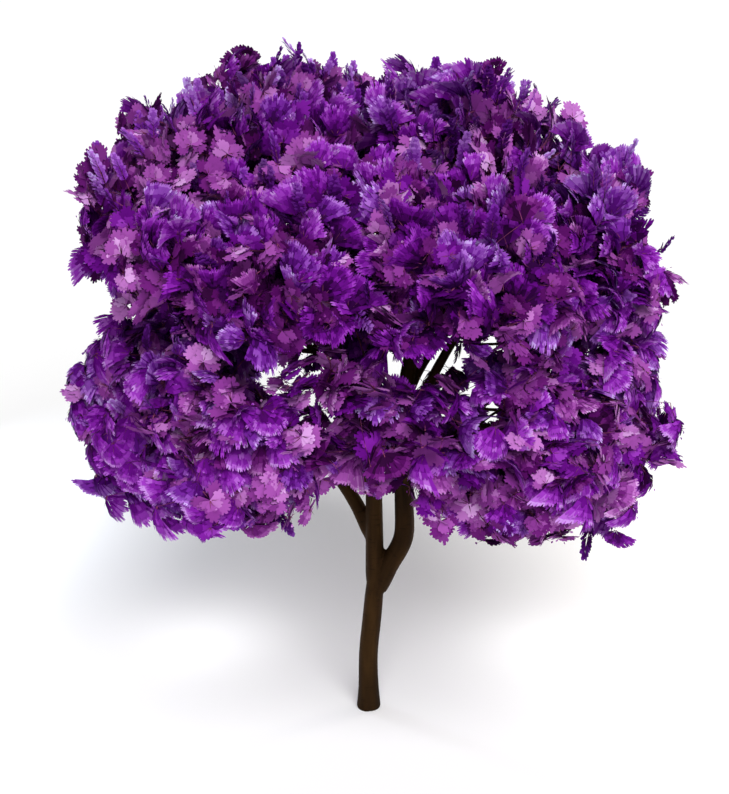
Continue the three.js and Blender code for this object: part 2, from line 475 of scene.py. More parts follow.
# %% [markdown]
# The masses meet in deep furrows, but on the tree the sprays of two neighbouring boughs spread until they
# touch, so the furrows are mostly filled. A smooth skin is stretched over the swellings, as a cloth would
# lie on them, and every spray in a furrow moves part of the way out to it. Only the notch in the crown's
# left side stays, and the hollow under the crown.

# %% Stretch a smooth skin over the crown
RAYS = 1400
RAY_START = 6.0  # metres from the heart, well outside the crown
CLOTH_STIFFNESS = 0.36  # radians: how far round a swelling holds the cloth up
FURROW_FILL = 0.7
UNDER_CROWN = (-0.35, -0.1)  # the heights of the ways where the cloth starts to hold
NOTCH_SIDE = (-0.95, -0.6)  # how far left the ways run where the cloth holds less

number = np.arange(RAYS)
ray_height = 1 - 2 * (number + 0.5) / RAYS
ray_turn = math.pi * (3 - math.sqrt(5)) * number
ray_flat = np.sqrt(1 - ray_height**2)
ray_ways = np.stack([ray_flat * np.cos(ray_turn), ray_flat * np.sin(ray_turn), ray_height], axis=1)


def reach_of_crown(way):
    """How far the crown's outer skin is from its heart, along a way."""
    start = Vector(CROWN_HEART + RAY_START * way)
    distance = crown_shell.ray_cast(start, Vector(-way))[3]
    return RAY_START - distance if distance else 0.0


ray_reach = np.array([reach_of_crown(way) for way in ray_ways])


def move_to_cloth(points):
    """How far, and which way, points in a furrow have to move out."""
    ways = unit(points - CROWN_HEART)
    reach = np.linalg.norm(points - CROWN_HEART, axis=1)
    apart = np.arccos(np.clip(ways @ ray_ways.T, -1, 1))
    weight = np.exp(-((apart / CLOTH_STIFFNESS) ** 2))
    cloth = ((weight @ ray_reach**8) / weight.sum(axis=1)) ** (1 / 8)
    upper = np.interp(ways[:, 2], UNDER_CROWN, (0.0, 1.0))
    off_left = np.interp(ways[:, 0], NOTCH_SIDE, (0.3, 1.0))
    return (FURROW_FILL * upper * off_left * np.maximum(cloth - reach, 0))[:, None] * ways


print("the crown reaches", round(ray_reach.max(), 2), "m from its heart")

# %% [markdown]
# A crown that followed its masses to the letter would look cut with a knife. Two slow noises, one of low
# swells and one of high ones, let it out and draw it in, and so do a few bulges and a dent at places of
# their own. The way out of the crown is a blend of three: a face's own, and those from the middle of its
# mass and of the crown, so that the sprays of one mass part like the blossom of one bough.

# %% Spread points and find places
TRIES = 2.5  # points that are tried, for each that finds room
rng = np.random.default_rng(11)


def spread_points(triangles, gap):
    """Points on triangles, none nearer than gap to another, and the triangle of each."""
    sides = triangles[:, 1:] - triangles[:, :1]
    areas = np.linalg.norm(np.cross(sides[:, 0], sides[:, 1]), axis=1)
    count = int(TRIES * areas.sum() / gap**2)
    faces = rng.choice(len(triangles), count, p=areas / areas.sum())
    a, b = rng.random((2, count, 1))
    a, b = np.where(a + b > 1, 1 - a, a), np.where(a + b > 1, 1 - b, b)
    points = triangles[faces, 0] + a * sides[faces, 0] + b * sides[faces, 1]
    near_cells = [(i, j, k) for i in (-1, 0, 1) for j in (-1, 0, 1) for k in (-1, 0, 1)]
    cells, kept = {}, []
    for index, (point, cell) in enumerate(zip(points, np.floor(points / gap).astype(int).tolist())):
        around = []
        for i, j, k in near_cells:
            around += cells.get((cell[0] + i, cell[1] + j, cell[2] + k), [])
        if not around or np.min(np.linalg.norm(np.array(around) - point, axis=1)) > gap:
            cells.setdefault(tuple(cell), []).append(point)
            kept.append(index)
    return points[kept], faces[kept]


def clump(points, size, seed):
    """A slow swell over the crown, from -1 to 1."""
    return np.array([noise.noise(Vector(p) / size + Vector((seed, 0, 0))) for p in points])


def nearness(points, place, reach):
    """1 at a place, and less and less away from it."""
    return np.exp(-((np.linalg.norm(points - place, axis=1) / reach) ** 2))


print("a slow swell at the heart of the crown:", clump([CROWN_HEART], 1.0, 0.0).round(2))

# %% Deal points over the crown
LAYERS = (  # metres between points, and how far in they lie
    {"gap": 0.129, "depth": (0.12, 0.34)},
    {"gap": 0.245, "depth": (0.37, 0.56)},
    {"gap": 0.36, "depth": (0.62, 0.90)},
)
SWELLS = ((0.7, 0.15, 3.0), (0.5, 0.42, 9.0))  # metres across, metres high, and a seed
BULGES = (  # a place on the crown, the reach from there, and how far it swells out, in metres
    ((2.1, 0.0, 6.0), 0.6, 0.20),
    ((-2.7, 0.0, 2.8), 0.5, 0.12),
    ((-2.7, 0.0, 4.5), 0.5, -0.16),
    ((0.9, 0.0, 6.7), 0.5, 0.10),
)


def lay_sprays(name):
    """Of a mass's sprays: the middles, the ways out of the crown, the layers and how far in they lie."""
    triangles, normals = skins[name]
    mass_middle = np.array(sum(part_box(name), Vector()) / 2)
    middles, ways, layers, depths = [], [], [], []
    for layer, rule in enumerate(LAYERS):
        points, faces = spread_points(triangles, rule["gap"])
        way = unit(normals[faces] + 0.8 * unit(points - mass_middle) + 0.7 * unit(points - CROWN_HEART))
        depth = rng.uniform(*rule["depth"], len(points))
        depth -= sum(height * clump(points, size, seed) for size, height, seed in SWELLS)
        depth -= sum(height * nearness(points, place, reach) for place, reach, height in BULGES)
        middles.append(points + move_to_cloth(points) - way * depth[:, None])
        ways.append(way)
        layers.append(np.full(len(points), layer))
        depths.append(depth)
    return [np.concatenate(column) for column in (middles, ways, layers, depths)]


laid = [lay_sprays(name) for name in mass_names]
spray_middle, spray_out, spray_layer, spray_depth = (np.concatenate(column) for column in zip(*laid))
spray_mass = np.repeat(np.arange(len(mass_names)), [len(entry[0]) for entry in laid])
print(len(spray_middle), "sprays:", np.bincount(spray_layer), "by layer")

# %% [markdown]
# The boughs carry short shoots of their own inside the crown. They hide the limbs from someone who looks in
# between the sprays, so that only the openings show wood. Each belongs to the mass that is nearest to it.

# %% Add short shoots along the boughs
SHOOTS_ABOVE = 0.43 * tree_height  # lower down the boughs are bare
SHOOT_REACH = (0.08, 0.34)  # metres from a bough's middle
SHOOT_LAYER = len(LAYERS)


def search_tree(points):
    """Finds the nearest of some points to any place."""
    tree = KDTree(len(points))
    for index, point in enumerate(points):
        tree.insert(point, index)
    tree.balance()
    return tree


shoot_middle, shoot_out = [], []
for name, (middles, _) in limbs.items():
    inside = middles[(middles[:, 2] > SHOOTS_ABOVE) & (name != "trunk")]
    around = unit(rng.normal(size=(len(inside), 3)) * (1, 1, 0.5))
    shoot_middle.append(inside + around * rng.uniform(*SHOOT_REACH, (len(inside), 1)))
    shoot_out.append(around)
shoot_middle, shoot_out = np.concatenate(shoot_middle), np.concatenate(shoot_out)

laid_tree = search_tree(spray_middle)
nearest = [laid_tree.find(middle)[1] for middle in shoot_middle]
shoots = len(shoot_middle)
spray_mass = np.concatenate([spray_mass, spray_mass[nearest]])
spray_middle = np.concatenate([spray_middle, shoot_middle])
spray_out = np.concatenate([spray_out, shoot_out])
spray_layer = np.concatenate([spray_layer, np.full(shoots, SHOOT_LAYER)])
spray_depth = np.concatenate([spray_depth, np.full(shoots, LAYERS[-1]["depth"][1])])
count = len(spray_middle)
print(shoots, "shoots on the boughs,", count, "sprays in all")

# %% [markdown]
# ## Kinds of spray
# The crown has three kinds of spray: a feathery fan of long petals, a broad one of flat, lobed sheets of
# florets, and a narrow plume. A fourth, a plain fan of few petals, does for the layers further in. Fans and
# broad sprays go by clumps, as the sprays of one bough open and fade together. Plumes are young and stiff,
# and most of them stand in the top of the crown. Under it, a few fans hang lower than the others. A share
# of something is given by its values at a few heights, from 0 at the crown's foot to 1 at its top.

# %% Deal the kinds
KINDS = ("fan", "broad", "plume", "plain")
VARIANTS = {"fan": 8, "broad": 6, "plume": 3, "plain": 2}
FAN, BROAD, PLUME, PLAIN = range(4)
MOODS = (  # a place in the crown, the reach from there, and how much it turns to broad, mauve sprays
    ((-2.2, -0.6, 2.7), 1.2, -0.45),
    ((-0.3, -2.1, 3.8), 1.2, 0.30),
    ((1.3, -1.9, 3.0), 0.8, 0.25),
    ((2.4, 0.0, 4.0), 0.9, -0.25),
    ((-1.6, -0.6, 6.0), 0.9, 0.25),
)
OPEN_FRONT, OPEN_REACH = (0.1, -1.3, 3.3), 1.0  # here one sees in, so the inner sprays are full ones too
OPEN_NEARNESS = 0.37  # as near as this is within the reach
MAUVE_ABOVE = 0.04  # a mood higher than this turns a spray mauve
STRAY_SHARE = 0.08  # of the sprays that don't follow the mood
HANGING_SHARE = 0.13  # of the lowest sprays that hang a little below the rest
HANGING_BELOW, HANGING_OFF_TRUNK = 0.17, 1.0  # of the crown's height, and metres
LEVEL_SHARE = 0.3  # of the broad sprays that lie level, faces up
WIDE_BELOW = 0.35  # of the crown's height: under this the fans are of the wide variants


def by_height(heights, values):
    """For every spray, the value at its height."""
    return np.interp(height_share, heights, values)


def dealt(share):
    """For every spray, whether it is in a share of them, by chance."""
    return rng.random(count) < share


crown_low, crown_high = spray_middle[:, 2].min(), spray_middle[:, 2].max()
height_share = (spray_middle[:, 2] - crown_low) / (crown_high - crown_low)
at_outline = (spray_layer == 0) | (nearness(spray_middle, OPEN_FRONT, OPEN_REACH) > OPEN_NEARNESS)
mood = 0.6 * clump(spray_middle, 0.9, 40.0) + 0.3 * rng.normal(size=count)
for place, size, push in MOODS:
    mood += push * nearness(spray_middle, place, size)
mauve = mood > MAUVE_ABOVE
stiff = dealt(by_height((0.6, 0.9), (0.08, 0.40)))
plume = stiff & dealt(by_height((0.6, 0.9), (0.2, 0.7)))
kind = np.where(plume, PLUME, np.where(mauve ^ dealt(STRAY_SHARE), BROAD, FAN))
hangs = at_outline & (height_share < HANGING_BELOW) & dealt(HANGING_SHARE)
hangs &= np.hypot(spray_middle[:, 0], spray_middle[:, 1]) > HANGING_OFF_TRUNK
kind[hangs] = FAN
kind[~at_outline] = PLAIN
level = (kind == BROAD) & dealt(LEVEL_SHARE) & (spray_out[:, 2] > -0.3)
first_variant = np.cumsum([0] + [VARIANTS[name] for name in KINDS[:-1]])
variants = np.array([VARIANTS[name] for name in KINDS])
any_variant = rng.integers(0, 1000, count) % variants[kind]
any_variant[(kind == FAN) & (height_share < WIDE_BELOW)] //= 2
spray_kind = first_variant[kind] + any_variant
print({name: int((kind == i).sum()) for i, name in enumerate(KINDS)}, int(mauve.sum()), "mauve")

# %% [markdown]
# ## How a spray stands
# A shoot bends under its blossom. In the lower crown it leaves its branch outwards and droops, so the fans
# lie in tiers like the slates of a roof, faces up and rims out and down. In the top of the crown shoots
# stand upright, and their broad sides look out sideways. The flat, broad sprays lie against the crown's
# outside, turned any way, or level with their faces up. So every spray gets an axis, from its stalk to its
# tip, and a face, square to it. Each of these is a sum of plain ways, with some chance in it.

# %% Turn the sprays
UP = np.array((0.0, 0.0, 1.0))
LEVEL = np.array((1.0, 1.0, 0.0))


def square_to(vectors, axes):
    """The part of each vector that is square to its axis, one long."""
    return unit(vectors - (vectors * axes).sum(axis=1, keepdims=True) * axes)


def blend_by(share, low, high):
    return (1 - share[:, None]) * low + share[:, None] * high


nudge, bend = rng.normal(size=(2, count, 3))
near_top = by_height((0.55, 0.80), (0, 1))
rise = by_height((0.0, 0.3, 0.55, 0.8), (-1.2, -0.8, -0.15, 1.2))[:, None]
off_level = unit(LEVEL * (unit(LEVEL * spray_middle) + 0.55 * nudge))  # level, mostly away from the trunk
light = np.interp(spray_out[:, 2], (-0.7, 0.0), (0.0, 0.8))[:, None] * UP  # nothing faces up under the crown

unruly = by_height((0.3, 0.6), (0.36, 0.5))[:, None]
fan_axis = unit(0.75 * spray_out + rise * UP + unruly * bend)
fan_axis[hangs] = unit(0.3 * spray_out - UP + 0.2 * bend)[hangs]
fan_broadside = blend_by(near_top, unit(0.65 * spray_out + light + 0.24 * nudge), off_level)
broad_broadside = blend_by(0.7 * near_top, unit(spray_out + 0.8 * light + 0.25 * nudge), off_level)
lean = rng.uniform(0.05, 0.45, (count, 1))
along_face = square_to(unit(bend) + 0.7 * rise * UP, broad_broadside)
broad_axis = unit(lean * spray_out + (1 - lean) * along_face)
broad_broadside[level] = unit(UP + 0.15 * nudge)[level]
broad_axis[level] = unit(LEVEL * spray_out + 0.3 * nudge)[level]
stiff_axis = unit(0.6 * spray_out + np.maximum(rise, 0.3) * UP + 0.2 * bend)

is_broad = (kind == BROAD)[:, None]
spray_axis = np.where(stiff[:, None], stiff_axis, np.where(is_broad, broad_axis, fan_axis))
face = square_to(np.where(is_broad, broad_broadside, fan_broadside) + 1e-3 * nudge, spray_axis)
roll = rng.normal(0, 1, count) * by_height((0.3, 0.7), (0.3, 0.6))
roll = np.where(stiff, rng.uniform(-1.2, 1.2, count), roll)[:, None]
spray_face = np.cos(roll) * face + np.sin(roll) * np.cross(spray_axis, face)
spray_side = np.cross(spray_axis, spray_face)
print(int(stiff.sum()), "stiff sprays of", count)

# %% [markdown]
# ## Tints and sizes
# Each spray starts on its own rung of a ladder. The deep layers stay on the darkest rungs, as painted shade.
# Paler rungs are painted light on the outermost sprays, those in the top of the crown and sheets that face
# the sky. Below the top the crown's front bends in under it, and there darker rungs are painted shade.

# %% Deal the tints and sizes
SPRAY_LENGTH = 0.26  # metres, of a spray of size 1
MAUVE_SHARE = 0.85  # of the broad sprays
IRIS_SHARE = 0.25  # of the violet fans that are bluer than the rest
PLAIN_SIZE = 0.96  # of a plain fan, among others

# Painted light: sprays close to the outside, in the top of the crown and at its sides step up to paler rungs.
painted_light = np.interp(spray_depth, (-0.03, 0.14, 0.3), (0.7, 0.2, 0.0))
painted_light += by_height((0.05, 0.2, 0.4, 0.5, 0.7, 0.95), (0.1, 0.7, 0.9, 0.1, 0.0, 1.4))
outward = np.interp(np.abs(spray_middle[:, 0]), (1.2, 2.4), (0.0, 0.75))
painted_light += outward * by_height((0.2, 0.45, 0.7, 0.75), (0.2, 1.0, 1.0, 2.0))
# Painted shade: the crown's upper front, under its top, steps down to darker rungs.
painted_shade = 0.75 * by_height((0.45, 0.6, 0.84, 0.93), (0, 1, 1, 0))
painted_shade *= np.interp(spray_out[:, 1], (-0.6, -0.1), (1, 0))
# The steps of painted light and painted shade move each outer spray's first rung.
brighter = at_outline * (1 * dealt(painted_light) + dealt(painted_light - 0.6))
brighter -= at_outline * dealt(painted_shade)
violet_start = rng.choice(3, count, p=(0.56, 0.33, 0.11)) + brighter
iris_start = rng.choice(3, count, p=(0.45, 0.4, 0.15)) + brighter * dealt(0.5)
# Painted light: sheets that face the sky step up a mauve rung.
painted_sky_light = dealt(np.clip((spray_face[:, 2] - 0.4) * 3, 0, 1))
mauve_start = rng.choice(4, count, p=(0.24, 0.36, 0.28, 0.12)) + np.maximum(painted_sky_light, brighter)
# Painted light: level sheets, faces up, take the palest mauve rungs.
mauve_start[level] = 3 + dealt(0.5)[level]
# Painted shade: sprays of the inner layers keep the two darkest rungs.
for start in (violet_start, iris_start, mauve_start):
    start[~at_outline] = rng.choice(2, (~at_outline).sum(), p=(0.7, 0.3))
violet_start = np.clip(violet_start, 0, 2)
iris_start = np.clip(iris_start, 0, np.where(kind == PLUME, 3, 1))
mauve_start = np.clip(mauve_start, 0, np.where(kind == FAN, 2, 4))
takes_mauve = np.where(kind == BROAD, dealt(MAUVE_SHARE), mauve & (kind != PLUME))
takes_iris = (kind == PLUME) | ((kind == FAN) & ~takes_mauve & dealt(IRIS_SHARE))
spray_tint = np.where(takes_mauve, MAUVE_START + mauve_start, violet_start)
spray_tint = np.where(takes_iris, IRIS_START + iris_start, spray_tint)

spray_size = rng.uniform(0.82, 1.25, count) * np.where(kind == PLAIN, PLAIN_SIZE, 1.0)
print(int(takes_mauve.sum()), "mauve,", int(takes_iris.sum()), "bluish,", int(brighter.sum()), "painted_light")

# %% [markdown]
# The tree keeps to the frame's size: blossom may stand a little proud of it, and no more. A spray that
# would reach further moves in.

# %% Set the sprays on their feet
PROUD = 0.025  # of each side of the frame's box, that blossom may stand proud
TIP_REACH = 1.25  # the furthest petal, in spray lengths from the foot
SIDE_REACH, FACE_REACH = 0.9, 0.35  # the furthest petals sideways and out of the spray's plane
PLUME_LEAD = 0.07  # metres that a plume stands out from its neighbours
HANGING = 0.13  # metres that a hanging fan hangs below them

box_low, box_high = np.array(cad_box[0]), np.array(cad_box[1])
outer_low, outer_high = box_low - PROUD * (box_high - box_low), box_high + PROUD * (box_high - box_low)
spray_middle += PLUME_LEAD * ((kind == PLUME) & at_outline)[:, None] * spray_axis
spray_middle -= HANGING * hangs[:, None] * UP
spray_reach = SPRAY_LENGTH * spray_size[:, None] * spray_axis
around = SIDE_REACH * np.abs(spray_side) + FACE_REACH * np.abs(spray_face)
around *= SPRAY_LENGTH * spray_size[:, None]
ends = np.stack([spray_middle - 0.5 * spray_reach, spray_middle + (TIP_REACH - 0.5) * spray_reach])
spray_middle -= np.maximum(ends.max(axis=0) + around - outer_high, 0)
spray_middle += np.maximum(outer_low - (ends.min(axis=0) - around), 0)
spray_foot = spray_middle - 0.5 * spray_reach
print("tips reach up to", round(float((spray_foot + TIP_REACH * spray_reach)[:, 2].max()), 2), "m")

# %% [markdown]
# ## Openings in the crown
# The crown isn't closed. From the front one looks right through it in a few places: over the fork, where
# the elbowed bough shows against the sky, and in some smaller chinks. Each opening is a short line in the
# upright plane through the trunk, with a width. A spray that would stand between the eye and an opening,
# or behind it, is left out.

# %% Keep the openings clear
OPENINGS = (  # x and height of both ends, and half the width, in metres
    ((0.22, 3.74), (0.42, 3.76), 0.04),
    ((0.46, 3.77), (0.80, 4.12), 0.065),
    ((-0.55, 3.85), (-0.46, 3.89), 0.03),
    ((1.08, 4.06), (1.22, 4.14), 0.04),
    ((1.18, 3.28), (1.34, 3.35), 0.04),
    ((0.21, 2.96), (0.22, 3.03), 0.03),
    ((0.89, 4.46), (0.90, 4.52), 0.03),
    ((1.00, 2.37), (1.08, 2.39), 0.04),
    ((-0.11, 2.70), (-0.11, 2.76), 0.03),
    ((-1.12, 3.06), (-1.10, 3.10), 0.03),
    ((-1.00, 2.60), (-0.98, 2.64), 0.03),
    ((-0.27, 2.54), (-0.02, 2.12), 0.06),  # the fork of the leader and the left bough
    ((0.08, 2.35), (0.26, 2.32), 0.06),
    ((0.38, 2.00), (0.36, 2.38), 0.08),  # the elbow
)
PROBES = [(along, across) for along in (-0.4, 0, 0.4) for across in (-0.5, 0, 0.5)]  # of a spray's length


def seen_at(points):
    """Where points appear from the camera's eye, as x and height in the plane through the trunk."""
    start = np.array(eye)
    reach = -start[1] / (points[:, 1] - start[1])
    seen = start + reach[:, None] * (points - start)
    return seen[:, [0, 2]]


def distance_to_line(points, a, b):
    a, b = np.array(a), np.array(b)
    share = np.clip((points - a) @ (b - a) / ((b - a) @ (b - a)), 0, 1)
    return np.linalg.norm(points - a - share[:, None] * (b - a), axis=1)


blocked = np.zeros(count, bool)
for along, across in PROBES:
    offset = along * spray_axis + across * spray_side
    probe = seen_at(spray_middle + SPRAY_LENGTH * spray_size[:, None] * offset)
    for a, b, half_width in OPENINGS:
        blocked |= distance_to_line(probe, a, b) < half_width
print(int(blocked.sum()), "sprays left out for the openings")

# %% [markdown]
# ## Branches
# The limbs end where they enter the crown, and the branches grow on from there. Each spray's foot draws
# the wood: in every round the nearest bit of wood to a foot reaches one step towards the feet that it
# serves, and more towards its nearest one, so that a shoot divides where its feet part. A branch's
# thickness follows from what it carries: where two branches join, the stem's section is a little less than
# both of theirs together, as in real wood.

# %% Grow the branches
GROWTH_STEP = 0.11  # metres
TIP_RADIUS = 0.0032
THICKENING = 2.5  # a stem's radius to this power is the sum of its branches'
BARE_SHARE = 0.45  # of a limb, from its foot, that carries no shoots
growth_rng = np.random.default_rng(5)


def grow(roots, feet):
    """Places of all nodes and the parent of each, with a tip at every foot."""
    places, parents = [Vector(r) for r in roots], [-1] * len(roots)
    tips = {}
    waiting = {i: Vector(f) for i, f in enumerate(feet)}
    while waiting:
        wood = search_tree(places)
        pulls = {}
        for i, foot in list(waiting.items()):
            place, nearest, distance = wood.find(foot)
            if distance < 1.3 * GROWTH_STEP:
                tips[i] = len(places)
                places.append(foot)
                parents.append(nearest)
                del waiting[i]
            else:
                pulls.setdefault(nearest, []).append((distance, foot - place))
        for nearest, drawn in pulls.items():
            closest = min(drawn, key=lambda pull: pull[0])[1].normalized()
            mean = sum((way.normalized() for _, way in drawn), Vector()) / len(drawn)
            wander = Vector(growth_rng.normal(0, 0.13, 3))
            heading = (closest + 0.9 * mean + wander).normalized()
            places.append(places[nearest] + GROWTH_STEP * heading)
            parents.append(nearest)
    return places, parents, tips


root_places, root_caps = [], []
for name, (middles, radii) in limbs.items():
    if name == "trunk":
        continue
    first = int(BARE_SHARE * len(middles))
    root_places += middles[first:].tolist()
    root_caps += (0.95 * radii[first:]).tolist()
shown = np.flatnonzero(~blocked)
places, parents, tips = grow(root_places, spray_foot[shown])
print(len(places), "nodes of wood for", len(shown), "sprays")

# %% Thicken them and cut them into runs
SETTLING_ROUNDS = 3
children = [[] for _ in places]
for child, parent in enumerate(parents):
    if parent >= 0:
        children[parent].append(child)

load = [0.0] * len(places)
for index in range(len(places) - 1, len(root_places) - 1, -1):
    load[index] = load[index] or TIP_RADIUS**THICKENING
    load[parents[index]] += load[index]
girths = [value ** (1 / THICKENING) for value in load]


def settle():
    """Rounds the corners of the wood: each node that has one branch moves between its neighbours."""
    for _ in range(SETTLING_ROUNDS):
        for index in range(len(root_places), len(places)):
            if len(children[index]) == 1:
                between = (places[parents[index]] + places[children[index][0]]) / 2
                places[index] = places[index].lerp(between, 0.5)


def runs_of_wood():
    """Unbroken lines of nodes, each from the stem it leaves to a tip."""
    runs, starts = [], [(i, child) for i in range(len(root_places)) for child in children[i]]
    while starts:
        stem, index = starts.pop()
        run = [stem, index]
        while children[index]:
            thickest = max(children[index], key=lambda c: girths[c])
            starts += [(index, child) for child in children[index] if child != thickest]
            index = thickest
            run.append(index)
        runs.append(run)
    return runs


settle()
wood_runs = runs_of_wood()
print(len(wood_runs), "runs of wood, the thickest", round(2000 * max(girths[len(root_places) :])), "mm")

# %% [markdown]
# ## Round wood
# Everything woody follows a line, with a girth at each of its points: that is a job for Geometry Nodes. The
# lines go in as loose edges, become curves, and a ring is swept along them. The tree's three woods use the
# same node tree: the limbs, the branches that go on inside the crown, and the twigs.

# %% Helpers for node trees


def new_node_tree(name, inputs):
    """A Geometry Nodes tree with named inputs. Returns it, its inputs, and the socket for its result."""
    tree = bpy.data.node_groups.new(name, "GeometryNodeTree")
    tree.interface.new_socket("Geometry", in_out="INPUT", socket_type="NodeSocketGeometry")
    tree.interface.new_socket("Geometry", in_out="OUTPUT", socket_type="NodeSocketGeometry")
    for label, kind in inputs.items():
        tree.interface.new_socket(label, in_out="INPUT", socket_type=kind)
    given = tree.nodes.new("NodeGroupInput").outputs
    return tree, given, tree.nodes.new("NodeGroupOutput").inputs["Geometry"]


def read(tree, label, kind):
    """An attribute that the mesh carries."""
    return add_node(tree, "GeometryNodeInputNamedAttribute", "Attribute", data_type=kind, Name=label)


def plain_mesh(name, source):
    """The plain mesh that an object's modifiers make of it. The object itself is removed."""
    made = bpy.data.meshes.new_from_object(source.evaluated_get(bpy.context.evaluated_depsgraph_get()))
    made.name = name
    bpy.data.objects.remove(source)
    return made


def bake_nodes(name, mesh, tree, values):
    """The plain mesh that a node tree makes of a mesh, under the given name."""
    source = put(name + "_source", mesh)
    modifier = source.modifiers.new("nodes", "NODES")
    modifier.node_group = tree
    for item in tree.interface.items_tree:
        if item.in_out == "INPUT" and item.name in values:
            modifier[item.identifier] = values[item.name]
    return plain_mesh(name, source)


def triangle_count(mesh):
    return sum(len(polygon.vertices) - 2 for polygon in mesh.polygons)


# %% Build the node tree for wood


def wood_tree():
    """Turns lines with a girth into round, closed lengths of wood."""
    inputs = {"Sides": "NodeSocketInt", "Finish": "NodeSocketMaterial"}
    tree, given, result = new_node_tree("round_wood", inputs)
    line = add_node(tree, "GeometryNodeMeshToCurve", Mesh=given["Geometry"])
    ring = add_node(tree, "GeometryNodeCurvePrimitiveCircle", Resolution=given["Sides"], Radius=1.0)
    swept = {"Curve": line, "Profile Curve": ring, "Scale": read(tree, "girth", "FLOAT"), "Fill Caps": True}
    wood = add_node(tree, "GeometryNodeCurveToMesh", inputs=swept)
    whole = add_node(tree, "GeometryNodeRealizeInstances", Geometry=wood)
    dressed = add_node(tree, "GeometryNodeSetMaterial", Geometry=whole, Material=given["Finish"])
    tree.links.new(dressed, result)
    return tree


round_wood = wood_tree()
print("node tree", round_wood.name, "with", len(round_wood.nodes), "nodes")

# %% [markdown]
# ## Trunk and boughs
# On the real tree the trunk and its boughs are one piece of wood, with a swollen crotch at each fork. So
# every limb is drawn out a little into the limb that carries it and into the crown, all of them are fused
# by remeshing, and the forks are smoothed. The bark's wrinkles and cracks are then pressed into the mesh
# itself, as they show on the edge of a trunk where a painted pattern wouldn't.

# %% Lay the limbs' lines
LIMB_SIDES = 32
LIMB_STEP = 0.02  # metres between rings
FOOT_REACH = 0.4  # of its radius, that a bough goes on into the limb that carries it
SPUR = (0.12, 0.28)  # metres that a bough's end goes on into the crown
ROUNDINGS = 6


def drawn_out(name, middles, radii):
    """A limb's line with its foot inside its carrier, and its far end run out in the crown."""
    out_at_foot = unit(middles[0] - middles[2])
    out_at_end = unit(middles[-1] - middles[-4])
    if name == "trunk":
        foot = middles[0] * (1, 1, 0)
        end = middles[-1] + SPUR[0] * out_at_end
        return np.vstack([foot, middles, end]), np.hstack([1.05 * radii[0], radii, 0.9 * radii[-1]])
    foot = middles[0] + FOOT_REACH * radii[0] * out_at_foot
    ends = [middles[-1] + reach * out_at_end for reach in SPUR]
    end_radii = [0.92 * radii[-1], 0.72 * radii[-1]]
    return np.vstack([foot, middles, *ends]), np.hstack([0.8 * radii[0], radii, end_radii])


def finely(points, girths, step):
    """The same line with a point at every step, and its corners rounded."""
    for _ in range(ROUNDINGS):
        points[1:-1] = 0.5 * points[1:-1] + 0.25 * (points[:-2] + points[2:])
        girths[1:-1] = 0.5 * girths[1:-1] + 0.25 * (girths[:-2] + girths[2:])
    along = np.hstack([0, np.cumsum(np.linalg.norm(np.diff(points, axis=0), axis=1))])
    stops = np.linspace(0, along[-1], max(2, round(along[-1] / step)))
    fine = np.stack([np.interp(stops, along, points[:, axis]) for axis in range(3)], axis=1)
    return fine, np.interp(stops, along, girths)


def lines_mesh(name, lines):
    """Lines of (points, girths) as a mesh of loose edges with a girth at each point."""
    mesh = bpy.data.meshes.new(name)
    points = np.concatenate([p for p, _ in lines])
    firsts = np.cumsum([0] + [len(p) for p, _ in lines])
    edges = [(i, i + 1) for a, b in zip(firsts[:-1], firsts[1:]) for i in range(a, b - 1)]
    mesh.from_pydata(points.tolist(), edges, [])
    girth = mesh.attributes.new("girth", "FLOAT", "POINT")
    girth.data.foreach_set("value", np.concatenate([g for _, g in lines]).astype(np.float32))
    return mesh


limb_lines = [finely(*drawn_out(name, *limbs[name]), LIMB_STEP) for name in limbs]
limb_wood = {"Sides": LIMB_SIDES, "Finish": bark}
limb_mesh = bake_nodes("limb_tubes", lines_mesh("limb_lines", limb_lines), round_wood, limb_wood)
print(triangle_count(limb_mesh), "triangles in the separate limbs")

# %% Fuse the limbs
FUSE_SIZE = 0.0145  # metres
SOFTENINGS = 6

limb_tubes = put("limb_tubes", limb_mesh)
fuse = limb_tubes.modifiers.new("fuse", "REMESH")
fuse.mode = "VOXEL"
fuse.voxel_size = FUSE_SIZE
fuse.use_smooth_shade = True
soften = limb_tubes.modifiers.new("soften", "SMOOTH")
soften.factor = 0.5
soften.iterations = SOFTENINGS
trunk_mesh = plain_mesh("trunk_and_boughs", limb_tubes)
print(triangle_count(trunk_mesh), "triangles in the fused limbs")

# %% Press in the bark
WRINKLE_DEPTH, CRACK_DEPTH = 0.0015, 0.0016
GROUND_FLAT = 0.007  # metres: what is lower belongs to the flat cut
NEXT_LIMB = 3.7  # metres from one limb's pattern to the next one's


def limb_places(points, lines):
    """Where points are on the nearest line: across it both ways, and along it, in metres."""
    middles, ways, runs = [], [], []
    for number, (line, _) in enumerate(lines):
        middles.append(line)
        ways.append(unit(np.gradient(line, axis=0)))
        steps = np.linalg.norm(np.diff(line, axis=0), axis=1)
        runs.append(NEXT_LIMB * number + np.hstack([0, np.cumsum(steps)]))
    middles, ways, runs = np.concatenate(middles), np.concatenate(ways), np.concatenate(runs)
    tree = search_tree(middles)
    nearest = np.array([tree.find(p)[1] for p in points.tolist()])
    offset, way = points - middles[nearest], ways[nearest]
    one = square_to(np.broadcast_to((0.0, 1.0, 0.0), way.shape), way)
    other = np.cross(way, one)
    across = [(offset * side).sum(axis=1) for side in (one, other)]
    return np.stack([*across, runs[nearest] + (offset * way).sum(axis=1)], axis=1)


def give_limb_places(mesh, lines):
    attribute = mesh.attributes.new("limb_place", "FLOAT_VECTOR", "POINT")
    found = limb_places(read_triples(mesh.vertices, "co"), lines)
    attribute.data.foreach_set("vector", found.astype(np.float32).ravel())
    return found


